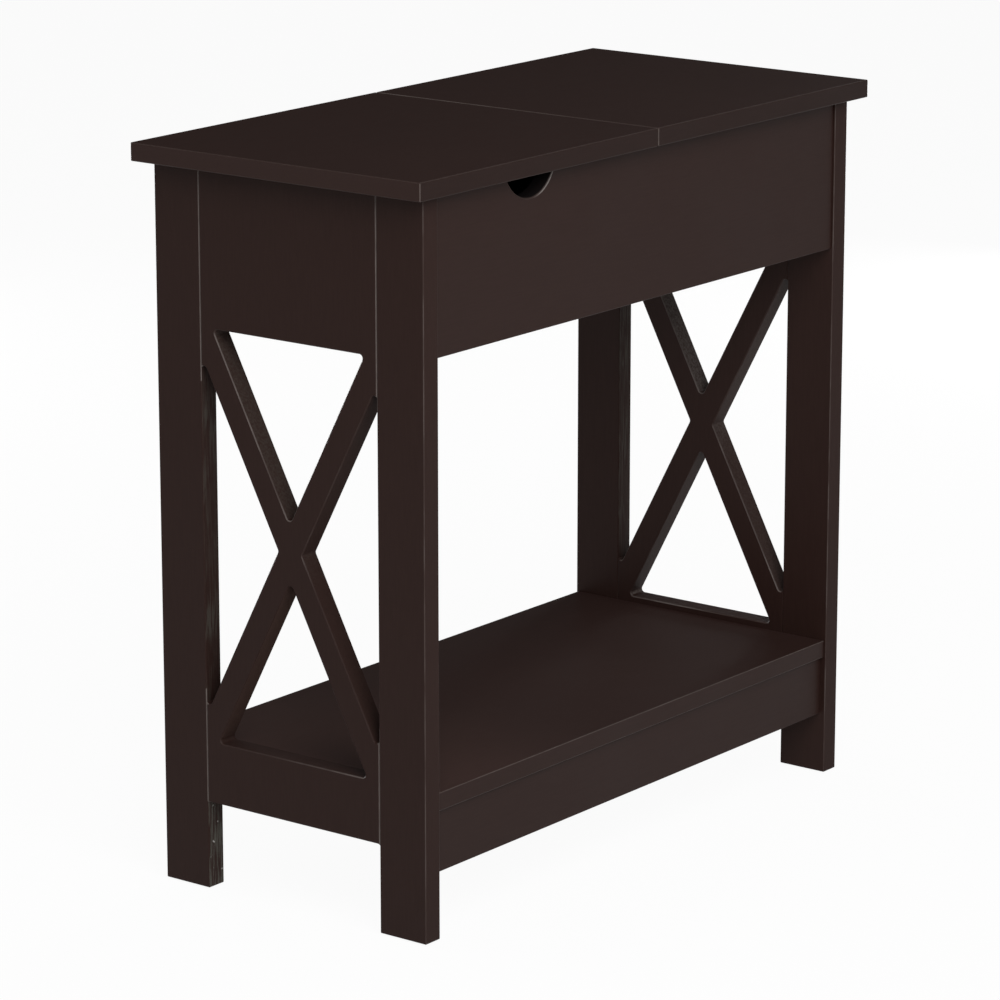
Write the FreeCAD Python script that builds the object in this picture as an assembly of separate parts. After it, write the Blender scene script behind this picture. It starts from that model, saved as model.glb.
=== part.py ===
import FreeCAD, Part
import os

os.makedirs("parts", exist_ok=True)

# Lift top end table. Sizes are in millimetres.
# X runs along the length, the front is at -Y, and Z is up from the floor.

# Overall sizes
top_length = 610.0
top_depth = 290.0
table_height = 610.0

# Top boards
top_thickness = 15.0
end_overhang = 16.0
side_overhang = 10.0
seam_gap = 1.2
top_edge_round = 1.0

# Legs
leg_width = 46.0
leg_thickness = 18.0
leg_edge_round = 1.0

# End panels with the X
panel_clearance_below = 75.0
panel_foot_height = 51.5
panel_head_height = 128.5
opening_side_margin = 12.3
arm_rise = 46.0
opening_corner_radius = 3.2
opening_edge_bevel = 0.8

# Aprons around the storage compartment
apron_thickness = 15.0
apron_height = 127.0
apron_setback = 2.0
board_edge_round = 0.8
notch_radius = 32.0
notch_depth = 20.0
notch_edge_bevel = 1.2

# Compartment floor and divider
floor_thickness = 5.0
floor_height_above_apron_edge = 10.0
floor_groove_depth = 5.0
floor_clearance = 0.2
divider_thickness = 15.0

# Shelf and the rails under it
shelf_height = 121.0
shelf_thickness = 15.0
shelf_setback = 2.0
rail_thickness = 15.0
rail_height = 51.5
rail_setback = 5.0

# Hinges
hinge_end_margin = 13.0
hinge_length = 40.0
leaf_thickness = 1.2
fixed_leaf_width = 20.0
lid_leaf_width = 12.0
knuckle_radius = 2.9
knuckle_clearance = 0.3
knuckle_gap = 0.4
pin_radius = 1.3
pin_clearance = 0.05
pin_head_radius = 2.1
pin_head_length = 1.0
mortise_clearance = 0.1
hinge_screw_spread = 26.0
hinge_screw_length = 12.0
hinge_screw_radius = 1.5
hinge_screw_head_radius = 2.9
hinge_screw_point_length = 2.5
hinge_screw_point_radius = 0.4
hinge_screw_cross_length = 2.6
hinge_screw_cross_width = 0.6
hinge_screw_cross_depth = 0.6

# Dowels
dowel_radius = 4.0
dowel_length = 30.0
dowel_end_bevel = 0.8
dowel_clearance = 0.1
dowel_into_face = 10.0
hole_end_slack = 0.5

# Cam locks and their bolts
cam_radius = 7.5
cam_length = 12.0
cam_reach = 24.0
bolt_thread_radius = 3.0
bolt_thread_length = 10.5
bolt_shank_radius = 3.5
bolt_neck_radius = 2.2
bolt_neck_gap = 0.5
bolt_head_radius = 3.2
bolt_head_length = 2.6
cam_hollow_clearance = 0.5
cam_hollow_length = 6.0
cam_cross_length = 6.4
cam_cross_width = 1.4
cam_cross_depth = 1.6
cam_end_margin = 5.0
fastener_clearance = 0.1

# Foot glides
glide_radius = 4.5
glide_thickness = 1.5
glide_nail_radius = 1.2
glide_nail_length = 12.0
glide_nail_point_radius = 0.3
glide_edge_round = 0.6

# Positions that follow from the sizes
top_underside = table_height - top_thickness
leg_outer_x = top_length / 2 - end_overhang
leg_inner_x = leg_outer_x - leg_thickness
leg_middle_x = leg_outer_x - leg_thickness / 2
leg_outer_y = top_depth / 2 - side_overhang
leg_inner_y = leg_outer_y - leg_width
leg_middle_y = leg_outer_y - leg_width / 2
apron_outer_y = leg_outer_y - apron_setback
apron_inner_y = apron_outer_y - apron_thickness
apron_middle_y = apron_outer_y - apron_thickness / 2
apron_bottom = top_underside - apron_height
apron_middle_z = top_underside - apron_height / 2
floor_bottom = apron_bottom + floor_height_above_apron_edge
floor_top = floor_bottom + floor_thickness
rail_outer_y = leg_outer_y - rail_setback
rail_inner_y = rail_outer_y - rail_thickness
rail_middle_y = rail_outer_y - rail_thickness / 2
shelf_bottom = shelf_height - shelf_thickness
shelf_middle_z = shelf_height - shelf_thickness / 2
shelf_edge_y = leg_outer_y - shelf_setback
rail_bottom = shelf_bottom - rail_height
rail_middle_z = shelf_bottom - rail_height / 2
panel_foot_top = panel_clearance_below + panel_foot_height
panel_head_bottom = top_underside - panel_head_height
lid_middle_x = -(top_length / 2 + seam_gap / 2) / 2
fixed_top_middle_x = -lid_middle_x
hinge_offset = leg_inner_x - hinge_end_margin - hinge_length / 2 + lid_middle_x
dowel_into_edge = dowel_length - dowel_into_face
top_cam_offset = leg_inner_x - dowel_into_edge - cam_end_margin - cam_radius - fixed_top_middle_x
pin_y = apron_outer_y + knuckle_radius + knuckle_clearance
pin_z = top_underside - knuckle_radius - knuckle_clearance

SIDES = (-1, 1)
ALONG_X = FreeCAD.Vector(1, 0, 0)
ALONG_Y = FreeCAD.Vector(0, 1, 0)
ALONG_Z = FreeCAD.Vector(0, 0, 1)


def point(x, y, z):
    """Make a point from its three coordinates."""
    return FreeCAD.Vector(x, y, z)


def block(x_low, x_high, y_low, y_high, z_low, z_high):
    """Make a plain box between the given limits."""
    size = (x_high - x_low, y_high - y_low, z_high - z_low)
    return Part.makeBox(size[0], size[1], size[2], point(x_low, y_low, z_low))


def board(x_low, x_high, y_low, y_high, z_low, z_high, edge_round):
    """Make a board with every edge slightly rounded."""
    plain = block(x_low, x_high, y_low, y_high, z_low, z_high)
    return plain.makeFillet(edge_round, plain.Edges)


def rod(radius, start, end):
    """Make a round bar from one point to another."""
    return Part.makeCylinder(radius, (end - start).Length, start, end - start)


def taper(start_radius, end_radius, start, end):
    """Make a cone from one point to another."""
    return Part.makeCone(start_radius, end_radius, (end - start).Length, start, end - start)


def drill(piece, cutters):
    """Cut a list of holes out of a piece."""
    return piece.cut(Part.makeCompound(cutters))


def save(name, solids):
    """Write one node, which is one solid or a group of separate solids."""
    Part.makeCompound(solids).exportStep("parts/" + name + ".step")


def rounded_prism(outline, x_low, x_high, radius):
    """Extrude an outline of (y, z) corners along X, with its corners rounded."""
    corners = [point(x_low, y, z) for y, z in outline]
    wire = Part.makePolygon(corners + corners[:1])
    prism = Part.Face(wire).extrude(ALONG_X * (x_high - x_low))
    long_edges = [edge for edge in prism.Edges if abs(edge.tangentAt(edge.FirstParameter).x) > 0.99]
    return prism.makeFillet(radius, long_edges)


def flared_opening(outline, x_low, x_high, radius, bevel):
    """Make the cutter of an opening through a board, with its rims on both faces bevelled."""
    cutter = rounded_prism(outline, x_low - 1, x_high + 1, radius)
    throat = min(cutter.Faces, key=lambda face: face.CenterOfMass.x)
    mouth = Part.Face(throat.OuterWire.makeOffset2D(bevel + 1))
    for way, shift in ((1, -1), (-1, x_high - x_low + 3)):
        flare = mouth.translated(ALONG_X * shift).extrude(ALONG_X * way * (bevel + 2))
        inner_end = max(flare.Faces, key=lambda face: way * face.CenterOfMass.x)
        cutter = cutter.fuse(flare.makeChamfer(bevel + 1, inner_end.Edges))
    return cutter


def cross_recess(middle, outward, arm, length, width, depth):
    """Make the cutter for a screwdriver cross that is sunk into a face."""
    bars = []
    for along in (arm, outward.cross(arm)):
        across = outward.cross(along)
        low = middle - along * (length / 2) - across * (width / 2) - outward * depth
        high = low + along * length
        corners = (low, high, high + across * width, low + across * width, low)
        bars.append(Part.Face(Part.makePolygon(corners)).extrude(outward * (2 * depth)))
    return bars[0].fuse(bars[1])


def dowel(joint, axis, length_back, length_ahead):
    """Make a dowel across a joint face, and the hole that holds it."""
    start = joint - axis * length_back
    end = joint + axis * length_ahead
    bevel = axis * dowel_end_bevel
    tip_radius = dowel_radius - dowel_end_bevel
    pin = rod(dowel_radius, start + bevel, end - bevel)
    pin = pin.fuse(taper(tip_radius, dowel_radius, start, start + bevel))
    pin = pin.fuse(taper(dowel_radius, tip_radius, end - bevel, end)).removeSplitter()
    slack = axis * hole_end_slack
    hole = rod(dowel_radius + dowel_clearance, start - slack, end + slack)
    return pin, hole


def cam_lock(joint, into, face, board_thickness):
    """Make a cam, its bolt and the holes for both.

    The bolt is screwed into the piece past the joint face. The cam sits in the board before it,
    in a pocket that opens on the side of the board that face points to.
    """
    middle = joint - into * cam_reach
    mouth = middle + face * (board_thickness / 2)
    bottom = mouth - face * cam_length

    # Bolt: thread, shank, neck and head
    neck_start = middle + into * (cam_radius + bolt_neck_gap)
    head_start = middle - into * (bolt_head_length / 2)
    head_end = middle + into * (bolt_head_length / 2)
    bolt = rod(bolt_thread_radius, joint, joint + into * bolt_thread_length)
    bolt = bolt.fuse(rod(bolt_shank_radius, neck_start, joint))
    bolt = bolt.fuse(rod(bolt_neck_radius, head_end, neck_start))
    bolt = bolt.fuse(rod(bolt_head_radius, head_start, head_end)).removeSplitter()

    # Cam: a disc with a hollow for the bolt head, a slot for the neck and a cross for the driver
    cam = rod(cam_radius, bottom, mouth)
    half_hollow = into * (cam_hollow_length / 2)
    hollow = rod(bolt_head_radius + cam_hollow_clearance, middle - half_hollow, middle + half_hollow)
    slot_end = middle + into * (cam_radius + bolt_neck_gap)
    slot = rod(bolt_neck_radius + cam_hollow_clearance, middle, slot_end)
    cross = cross_recess(mouth, face, into, cam_cross_length, cam_cross_width, cam_cross_depth)
    cam = cam.cut(hollow).cut(slot).cut(cross)

    # Holes: thread, shank and the pocket of the cam
    deep = joint + into * (bolt_thread_length + hole_end_slack)
    holes = rod(bolt_thread_radius + fastener_clearance, joint, deep)
    holes = holes.fuse(rod(bolt_shank_radius + fastener_clearance, middle, joint))
    pocket = rod(cam_radius + fastener_clearance, bottom - face * fastener_clearance, mouth + face)
    return cam, bolt, holes.fuse(pocket)


def screw(seat, into):
    """Make a countersunk screw whose head is flush at the seat, and the hole it cuts."""
    head_end = seat + into * leaf_thickness
    tip_start = seat + into * (hinge_screw_length - hinge_screw_point_length)
    tip = seat + into * hinge_screw_length
    body = taper(hinge_screw_head_radius, hinge_screw_radius, seat, head_end)
    body = body.fuse(rod(hinge_screw_radius, head_end, tip_start))
    body = body.fuse(taper(hinge_screw_radius, hinge_screw_point_radius, tip_start, tip)).removeSplitter()
    cross_size = (hinge_screw_cross_length, hinge_screw_cross_width, hinge_screw_cross_depth)
    body = body.cut(cross_recess(seat, into * -1, ALONG_X, *cross_size))
    wide = fastener_clearance
    hole = taper(hinge_screw_head_radius + wide, hinge_screw_radius + wide, seat, head_end)
    hole = hole.fuse(rod(hinge_screw_radius + wide, head_end, tip + into * hole_end_slack))
    return body, hole


def add_dowels(sites, length_back, length_ahead):
    """Make the dowels and holes for a list of (point, axis) sites."""
    made = [dowel(joint, axis, length_back, length_ahead) for joint, axis in sites]
    return [pair[0] for pair in made], [pair[1] for pair in made]


def add_cams(sites, board_thickness):
    """Make the cams, bolts and holes for a list of (point, into, face) sites."""
    made = [cam_lock(joint, into, face, board_thickness) for joint, into, face in sites]
    return [trio[0] for trio in made], [trio[1] for trio in made], [trio[2] for trio in made]


# Fastener sites. Each end of an apron or rail has one cam between two dowels.
end_dowel_sites = []
apron_dowel_sites = []
apron_cam_sites = []
rail_dowel_sites = []
rail_cam_sites = []
shelf_dowel_sites = []
shelf_cam_sites = []
shelf_rail_dowel_sites = []
divider_dowel_sites = []
top_dowel_sites = []
top_cam_sites = []
end_dowel_heights = []
for share in (0.25, 0.75):
    end_dowel_heights.append(panel_head_bottom + panel_head_height * share)
    end_dowel_heights.append(panel_clearance_below + panel_foot_height * share)
for side_y in SIDES:
    inward = ALONG_Y * -side_y
    for side_x in SIDES:
        outward = ALONG_X * side_x
        for height in end_dowel_heights:
            leg_edge = point(side_x * leg_middle_x, side_y * leg_inner_y, height)
            end_dowel_sites.append((leg_edge, ALONG_Y * side_y))
        apron_end = point(side_x * leg_inner_x, side_y * apron_middle_y, apron_middle_z)
        rail_end = point(side_x * leg_inner_x, side_y * rail_middle_y, rail_middle_z)
        apron_cam_sites.append((apron_end, outward, inward))
        rail_cam_sites.append((rail_end, outward, inward))
        for step in SIDES:
            apron_dowel_sites.append((apron_end + ALONG_Z * (step * apron_height * 0.3), outward))
            rail_dowel_sites.append((rail_end + ALONG_Z * (step * rail_height * 0.3), outward))
        shelf_end_cam = point(side_x * leg_inner_x, side_y * leg_inner_y * 0.6, shelf_middle_z)
        shelf_end_dowel = point(side_x * leg_inner_x, side_y * leg_inner_y * 0.25, shelf_middle_z)
        shelf_cam_sites.append((shelf_end_cam, outward, ALONG_Z * -1))
        shelf_dowel_sites.append((shelf_end_dowel, outward))
        top_place_x = fixed_top_middle_x + side_x * top_cam_offset
        top_cam_sites.append((point(top_place_x, side_y * apron_middle_y, top_underside), ALONG_Z, inward))
    for step in (-1, 0, 1):
        rail_top = point(step * leg_inner_x * 0.6, side_y * rail_middle_y, shelf_bottom)
        shelf_rail_dowel_sites.append((rail_top, ALONG_Z))
    for share in (0.3, 0.7):
        height = floor_top + (top_underside - floor_top) * share
        divider_dowel_sites.append((point(0, side_y * apron_inner_y, height), ALONG_Y * side_y))
    top_dowel_sites.append((point(leg_middle_x, side_y * leg_inner_y * 0.6, top_underside), ALONG_Z))

# Fasteners and their holes
edge_to_face = (dowel_into_edge, dowel_into_face)
end_dowels, end_dowel_holes = add_dowels(end_dowel_sites, dowel_length / 2, dowel_length / 2)
apron_dowels, apron_dowel_holes = add_dowels(apron_dowel_sites, *edge_to_face)
rail_dowels, rail_dowel_holes = add_dowels(rail_dowel_sites, *edge_to_face)
shelf_dowels, shelf_dowel_holes = add_dowels(shelf_dowel_sites, *edge_to_face)
shelf_rail_dowels, shelf_rail_dowel_holes = add_dowels(shelf_rail_dowel_sites, *edge_to_face)
divider_dowels, divider_dowel_holes = add_dowels(divider_dowel_sites, *edge_to_face)
top_dowels, top_dowel_holes = add_dowels(top_dowel_sites, *edge_to_face)
apron_cams, apron_bolts, apron_cam_holes = add_cams(apron_cam_sites, apron_thickness)
rail_cams, rail_bolts, rail_cam_holes = add_cams(rail_cam_sites, rail_thickness)
shelf_cams, shelf_bolts, shelf_cam_holes = add_cams(shelf_cam_sites, shelf_thickness)
top_cams, top_bolts, top_cam_holes = add_cams(top_cam_sites, apron_thickness)

leg_holes = end_dowel_holes + apron_dowel_holes + apron_cam_holes + rail_dowel_holes + rail_cam_holes
panel_holes = end_dowel_holes + shelf_dowel_holes + shelf_cam_holes + top_dowel_holes
apron_holes = apron_dowel_holes + apron_cam_holes + divider_dowel_holes + top_cam_holes
rail_holes = rail_dowel_holes + rail_cam_holes + shelf_rail_dowel_holes
shelf_holes = shelf_dowel_holes + shelf_cam_holes + shelf_rail_dowel_holes
top_holes = top_dowel_holes + top_cam_holes

# Legs, each with a nailed glide under it
glides = []
for side_x, word_x in zip(SIDES, ("left", "right")):
    for side_y, word_y in zip(SIDES, ("front", "rear")):
        x_limits = sorted((side_x * leg_inner_x, side_x * leg_outer_x))
        y_limits = sorted((side_y * leg_inner_y, side_y * leg_outer_y))
        leg = board(*x_limits, *y_limits, glide_thickness, top_underside, leg_edge_round)
        foot = point(side_x * leg_middle_x, side_y * leg_middle_y, 0)
        disc = rod(glide_radius, foot, foot + ALONG_Z * glide_thickness)
        low_edges = [edge for edge in disc.Edges if edge.BoundBox.ZMax < glide_thickness / 2]
        disc = disc.makeFillet(glide_edge_round, low_edges)
        nail_start = foot + ALONG_Z * glide_thickness
        nail_end = nail_start + ALONG_Z * glide_nail_length
        hole_end = nail_end + ALONG_Z * hole_end_slack
        nail = taper(glide_nail_radius, glide_nail_point_radius, nail_start, nail_end)
        wide = fastener_clearance
        nail_hole = taper(glide_nail_radius + wide, glide_nail_point_radius + wide, nail_start, hole_end)
        glides.append(disc.fuse(nail))
        save("leg_" + word_y + "_" + word_x, [drill(leg, leg_holes + [nail_hole])])
save("foot_glides", glides)

# End panels. The arms of the X run between the corners of the upper and lower openings.
cross_z = (panel_head_bottom + panel_foot_top) / 2
corner_y = leg_inner_y - opening_side_margin
arm_slope = (panel_head_bottom - cross_z - arm_rise / 2) / corner_y
side_edge_y = leg_inner_y + opening_corner_radius * 0.2
side_half_height = arm_slope * side_edge_y - arm_rise / 2
side_tip_y = arm_rise / 2 / arm_slope
upper_opening = (
    (-corner_y, panel_head_bottom),
    (corner_y, panel_head_bottom),
    (0, cross_z + arm_rise / 2),
)
lower_opening = (
    (-corner_y, panel_foot_top),
    (corner_y, panel_foot_top),
    (0, cross_z - arm_rise / 2),
)
foot_opening = (
    (-side_edge_y, panel_clearance_below),
    (side_edge_y, panel_clearance_below),
    (side_edge_y, panel_clearance_below - 4 * opening_corner_radius),
    (-side_edge_y, panel_clearance_below - 4 * opening_corner_radius),
)
outlines = [upper_opening, lower_opening, foot_opening]
for side_y in SIDES:
    outlines.append((
        (side_y * side_tip_y, cross_z),
        (side_y * side_edge_y, cross_z + side_half_height),
        (side_y * side_edge_y, cross_z - side_half_height),
    ))
panel_low = panel_clearance_below - 0.7 * opening_corner_radius
for side_x, word_x in zip(SIDES, ("left", "right")):
    x_low, x_high = sorted((side_x * leg_inner_x, side_x * leg_outer_x))
    panel = board(x_low, x_high, -leg_inner_y, leg_inner_y, panel_low, top_underside, leg_edge_round)
    for outline in outlines:
        panel = panel.cut(flared_opening(outline, x_low, x_high, opening_corner_radius, opening_edge_bevel))
    save(word_x + "_end_panel", [drill(panel, panel_holes)])

# Aprons, with the groove of the compartment floor on their inner sides
grooves = []
for side_y in SIDES:
    y_limits = sorted((side_y * (apron_inner_y - 1), side_y * (apron_inner_y + floor_groove_depth)))
    grooves.append(block(-leg_inner_x, leg_inner_x, *y_limits, floor_bottom, floor_top + floor_clearance))
notch_middle = point(lid_middle_x, -apron_inner_y + 1, top_underside - notch_depth + notch_radius)
rim_outside = notch_middle - ALONG_Y * (apron_thickness + 2)
notch = rod(notch_radius, notch_middle, rim_outside)
rim_inside = rim_outside + ALONG_Y * (1 + notch_edge_bevel)
rim = taper(notch_radius + 1 + notch_edge_bevel, notch_radius, rim_outside, rim_inside)
apron_limits = (apron_bottom, top_underside, board_edge_round)
front_apron = board(-leg_inner_x, leg_inner_x, -apron_outer_y, -apron_inner_y, *apron_limits)
save("front_apron", [drill(front_apron, apron_holes + grooves).cut(notch.fuse(rim))])
rear_apron = board(-leg_inner_x, leg_inner_x, apron_inner_y, apron_outer_y, *apron_limits)
rear_apron = drill(rear_apron, apron_holes + grooves)

# Compartment floor and the divider under the seam
floor_x = leg_inner_x - floor_clearance
floor_y = apron_inner_y + floor_groove_depth - floor_clearance
save("compartment_floor", [block(-floor_x, floor_x, -floor_y, floor_y, floor_bottom, floor_top)])
divider_x = divider_thickness / 2
divider_limits = (floor_top, top_underside, board_edge_round)
divider = board(-divider_x, divider_x, -apron_inner_y, apron_inner_y, *divider_limits)
save("centre_divider", [drill(divider, divider_dowel_holes)])

# Shelf and rails
shelf_limits = (shelf_bottom, shelf_height, board_edge_round)
shelf = board(-leg_inner_x, leg_inner_x, -shelf_edge_y, shelf_edge_y, *shelf_limits)
save("shelf", [drill(shelf, shelf_holes)])
for side_y, word_y in zip(SIDES, ("front", "rear")):
    y_limits = sorted((side_y * rail_inner_y, side_y * rail_outer_y))
    rail = board(-leg_inner_x, leg_inner_x, *y_limits, rail_bottom, shelf_bottom, board_edge_round)
    save("shelf_" + word_y + "_rail", [drill(rail, rail_holes)])

# Hinges: three knuckles each, the outer two on the fixed leaf and the middle one on the lid leaf
lid_screws = []
lid_screw_holes = []
apron_screws = []
apron_screw_holes = []
mortises = []
for side_x, word_x in zip(SIDES, ("left", "right")):
    hinge_x = lid_middle_x + side_x * hinge_offset
    x_low = hinge_x - hinge_length / 2
    x_high = hinge_x + hinge_length / 2
    middle_low = x_low + hinge_length / 3
    middle_high = x_high - hinge_length / 3
    outer_spans = ((x_low, middle_low - knuckle_gap / 2), (middle_high + knuckle_gap / 2, x_high))
    middle_span = (middle_low + knuckle_gap / 2, middle_high - knuckle_gap / 2)
    leaf_top = pin_z - knuckle_radius - knuckle_gap
    leaf_back_y = apron_outer_y + leaf_thickness
    lid_leaf_low = top_underside - leaf_thickness
    lid_leaf_front = apron_outer_y - lid_leaf_width

    fixed_leaf = block(x_low, x_high, apron_outer_y, leaf_back_y, leaf_top - fixed_leaf_width, leaf_top)
    for span in outer_spans:
        barrel = rod(knuckle_radius, point(span[0], pin_y, pin_z), point(span[1], pin_y, pin_z))
        neck = block(span[0], span[1], apron_outer_y, leaf_back_y, leaf_top, pin_z)
        fixed_leaf = fixed_leaf.fuse(barrel).fuse(neck)
    lid_leaf = block(x_low, x_high, lid_leaf_front, apron_outer_y, lid_leaf_low, top_underside)
    barrel = rod(knuckle_radius, point(middle_span[0], pin_y, pin_z), point(middle_span[1], pin_y, pin_z))
    neck = block(middle_span[0], middle_span[1], apron_outer_y, pin_y, lid_leaf_low, top_underside)
    lid_leaf = lid_leaf.fuse(barrel).fuse(neck)

    bore_start = point(x_low - 1, pin_y, pin_z)
    bore_end = point(x_high + 1, pin_y, pin_z)
    bore = rod(pin_radius + pin_clearance, bore_start, bore_end)
    pin_start = point(x_low, pin_y, pin_z)
    pin_end = point(x_high, pin_y, pin_z)
    pin = rod(pin_radius, pin_start, pin_end)
    pin = pin.fuse(rod(pin_head_radius, pin_start - ALONG_X * pin_head_length, pin_start))
    pin = pin.fuse(rod(pin_head_radius, pin_end, pin_end + ALONG_X * pin_head_length)).removeSplitter()

    leaf_holes = [bore]
    for step in SIDES:
        screw_x = hinge_x + step * hinge_screw_spread / 2
        lid_seat = point(screw_x, (lid_leaf_front + apron_outer_y) / 2, lid_leaf_low)
        fixed_seat = point(screw_x, leaf_back_y, leaf_top - fixed_leaf_width / 2)
        lid_screw, lid_screw_hole = screw(lid_seat, ALONG_Z)
        apron_screw, apron_screw_hole = screw(fixed_seat, ALONG_Y * -1)
        lid_screws.append(lid_screw)
        lid_screw_holes.append(lid_screw_hole)
        apron_screws.append(apron_screw)
        apron_screw_holes.append(apron_screw_hole)
        leaf_holes += [lid_screw_hole, apron_screw_hole]
    mortise_x = (x_low - mortise_clearance, x_high + mortise_clearance)
    mortise_y = (lid_leaf_front - mortise_clearance, apron_outer_y + 1)
    mortises.append(block(*mortise_x, *mortise_y, lid_leaf_low - mortise_clearance, top_underside + 1))
    save("hinge_fixed_leaf_" + word_x, [drill(fixed_leaf, leaf_holes).removeSplitter()])
    save("hinge_lid_leaf_" + word_x, [drill(lid_leaf, leaf_holes).removeSplitter()])
    save("hinge_pin_" + word_x, [pin])
save("hinge_lid_screws", lid_screws)
save("hinge_apron_screws", apron_screws)
save("rear_apron", [drill(rear_apron, apron_screw_holes + mortises)])

# Top boards
top_limits = (-top_depth / 2, top_depth / 2, top_underside, table_height, top_edge_round)
lid = board(-top_length / 2, -seam_gap / 2, *top_limits)
save("lid", [drill(lid, lid_screw_holes)])
fixed_top = board(seam_gap / 2, top_length / 2, *top_limits)
save("fixed_top", [drill(fixed_top, top_holes)])

# Fastener groups
save("end_frame_dowels", end_dowels)
save("apron_dowels", apron_dowels)
save("rail_dowels", rail_dowels)
save("shelf_end_dowels", shelf_dowels)
save("shelf_rail_dowels", shelf_rail_dowels)
save("divider_dowels", divider_dowels)
save("top_dowels", top_dowels)
save("apron_cam_locks", apron_cams)
save("apron_cam_bolts", apron_bolts)
save("rail_cam_locks", rail_cams)
save("rail_cam_bolts", rail_bolts)
save("shelf_cam_locks", shelf_cams)
save("shelf_cam_bolts", shelf_bolts)
save("top_cam_locks", top_cams)
save("top_cam_bolts", top_bolts)
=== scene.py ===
import logging
import math
from dataclasses import dataclass
from enum import Enum
from functools import reduce

import bmesh
import bpy
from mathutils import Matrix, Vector


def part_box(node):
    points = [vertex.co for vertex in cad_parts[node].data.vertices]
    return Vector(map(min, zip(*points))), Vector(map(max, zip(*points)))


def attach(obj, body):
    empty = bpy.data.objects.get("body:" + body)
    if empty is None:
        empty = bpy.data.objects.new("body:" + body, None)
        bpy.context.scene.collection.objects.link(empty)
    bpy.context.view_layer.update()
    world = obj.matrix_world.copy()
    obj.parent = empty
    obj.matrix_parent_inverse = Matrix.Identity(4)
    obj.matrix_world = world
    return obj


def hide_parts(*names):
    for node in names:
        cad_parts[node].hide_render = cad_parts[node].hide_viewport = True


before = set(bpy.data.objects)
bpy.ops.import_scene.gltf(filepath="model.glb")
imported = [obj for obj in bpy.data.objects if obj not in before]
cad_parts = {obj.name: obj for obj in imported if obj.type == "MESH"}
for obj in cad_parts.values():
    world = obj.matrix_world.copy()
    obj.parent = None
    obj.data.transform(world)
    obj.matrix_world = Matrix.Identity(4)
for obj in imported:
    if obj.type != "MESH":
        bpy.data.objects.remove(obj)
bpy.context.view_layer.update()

LOG = logging.getLogger("lift_top_table")
MM = 0.001

# Places that the finishes refer to, worked out from the frame
LID_LOW, LID_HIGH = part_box("lid")
APRON_LOW, APRON_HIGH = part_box("front_apron")
SHELF_LOW, SHELF_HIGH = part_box("shelf")
PANEL_LOW, PANEL_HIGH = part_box("right_end_panel")
LEDGE_RISE = 5.5 * MM
HEAD_DROP = 1.5 * MM
LEDGE_TOP = SHELF_HIGH.z + LEDGE_RISE
HEAD_BOTTOM = APRON_LOW.z - HEAD_DROP

# Short names for the types used most: a colour or place, and the two ends of a range
Triple = tuple[float, float, float]
Span = tuple[float, float]
Socket = bpy.types.NodeSocket
Sockets = bpy.types.bpy_prop_collection


class GrainAxis(Enum):
    """The way the fibres of a board or the brush lines of a metal run."""

    LENGTH = (1.0, 14.0, 14.0)
    HEIGHT = (14.0, 14.0, 1.0)


class EndSide(Enum):
    """The two ends of the table."""

    LEFT = "left"
    RIGHT = "right"


class NodeBench:
    """A small bench for laying out shader nodes in one tree."""

    def __init__(self, tree: bpy.types.NodeTree) -> None:
        """Keep the tree that nodes are added to."""
        self.tree = tree

    def add(self, kind: str, *values: object, **settings: object) -> bpy.types.Node:
        """Add a node, set its plain properties and feed its first inputs.

        Args:
            kind: The node's type name.
            values: What feeds its inputs, in their order.
            settings: Properties of the node by name.

        Returns:
            The new node.
        """
        node = self.tree.nodes.new(kind)
        for name, value in settings.items():
            setattr(node, name, value)
        for socket, value in zip(node.inputs, values):
            self.feed(socket, value)
        return node

    def feed(self, socket: Socket, value: object) -> None:
        """Link a socket to an output, or set its own value.

        Args:
            socket: The input to feed.
            value: An output, a number, or three numbers, which make an opaque colour in a colour socket.
        """
        if isinstance(value, Socket):
            self.tree.links.new(value, socket)
        elif socket.type == "RGBA":
            socket.default_value = (*value, 1.0)
        else:
            socket.default_value = value

    def split(self, vector: object) -> Sockets:
        """Take a vector apart into X, Y and Z."""
        return self.add("ShaderNodeSeparateXYZ", vector).outputs

    def maths(self, operation: str, *values: object) -> Socket:
        """Work out one sum."""
        return self.add("ShaderNodeMath", *values, operation=operation).outputs[0]

    def vector(self, operation: str, *values: object) -> Sockets:
        """Work out one sum on vectors, with the results Vector and Value."""
        return self.add("ShaderNodeVectorMath", *values, operation=operation).outputs

    def product(self, *factors: object) -> Socket:
        """Multiply two or more values."""
        return reduce(lambda first, second: self.maths("MULTIPLY", first, second), factors)

    def spread(
        self, value: object, low: float, high: float, to_low: object = 0.0, to_high: object = 1.0
    ) -> Socket:
        """Map a range of values smoothly onto another, from low and high to to_low and to_high."""
        ends = (low, high, to_low, to_high)
        return self.add("ShaderNodeMapRange", value, *ends, interpolation_type="SMOOTHSTEP").outputs[0]

    def noise(self, vector: object, scale: float, detail: float, roughness: float = 0.5) -> Socket:
        """Add a noise texture.

        Args:
            vector: Where the noise is read.
            scale: Its scale, per metre.
            detail: Its detail.
            roughness: How strong its small parts are.

        Returns:
            The noise value, about 0 to 1.
        """
        node = self.add("ShaderNodeTexNoise", vector)
        node.inputs["Scale"].default_value = scale
        node.inputs["Detail"].default_value = detail
        node.inputs["Roughness"].default_value = roughness
        return node.outputs["Fac"]

    def blend(self, mask: object, first: object, second: object, mode: str = "MIX") -> Socket:
        """Mix two colours by a mask.

        Args:
            mask: 0 gives the first colour and 1 the second.
            first: The first colour.
            second: The second colour.
            mode: How the second colour is laid on the first.

        Returns:
            The mixed colour.
        """
        node = self.add("ShaderNodeMix", mask, data_type="RGBA", blend_type=mode)
        self.feed(node.inputs[6], first)
        self.feed(node.inputs[7], second)
        return node.outputs[2]


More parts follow.
